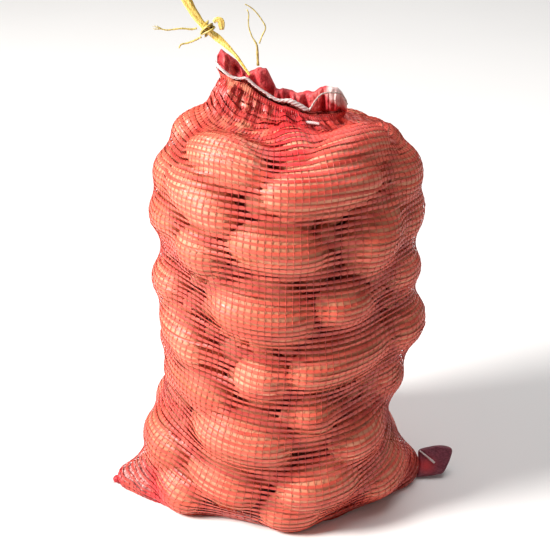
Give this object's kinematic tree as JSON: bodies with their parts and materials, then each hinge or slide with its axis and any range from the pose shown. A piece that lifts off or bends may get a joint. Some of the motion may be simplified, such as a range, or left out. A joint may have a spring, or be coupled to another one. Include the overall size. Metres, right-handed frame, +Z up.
{
  "type": "net sack of potatoes",
  "caption": "Upright red mesh net sack bulging with potatoes, sewn flat at the bottom with two corner ears, its mouth gathered by a white drawstring and tied with yellow raffia.",
  "frame": {"origin": "on the flat base, under the middle of the filled sack", "axes": "+Z up the sack towards its tied mouth, +X along the bottom seam and the mouth to the viewer's right, +Y away from the viewer"},
  "size_m": [0.3797, 0.2597, 0.5814],
  "materials": {
    "net": "open leno mesh of slightly shiny red plastic tape",
    "hem": "the same red mesh gathered into a dense folded hem",
    "string": "matt white plaited cord and thread",
    "raffia": "split yellow plastic raffia with a fibrous shine",
    "fold": "maroon folded corner of the mesh, several layers thick",
    "potato_skin": "thin tan potato skin with small eyes and a little dry soil"
  },
  "bodies": {
    "root": {"net_bag": "net", "mouth_hem": "hem", "drawstring": "string", "drawstring_end": "string", "tie_band": "raffia", "tie_knot": "raffia", "tie_loop": "raffia", "tie_lobe": "raffia", "tie_tail_upper": "raffia", "tie_tail_lower": "raffia", "tie_strand_left": "raffia", "tie_strand_right": "raffia", "corner_fold": "fold", "corner_stitch": "string"}
  },
  "joints": []
}
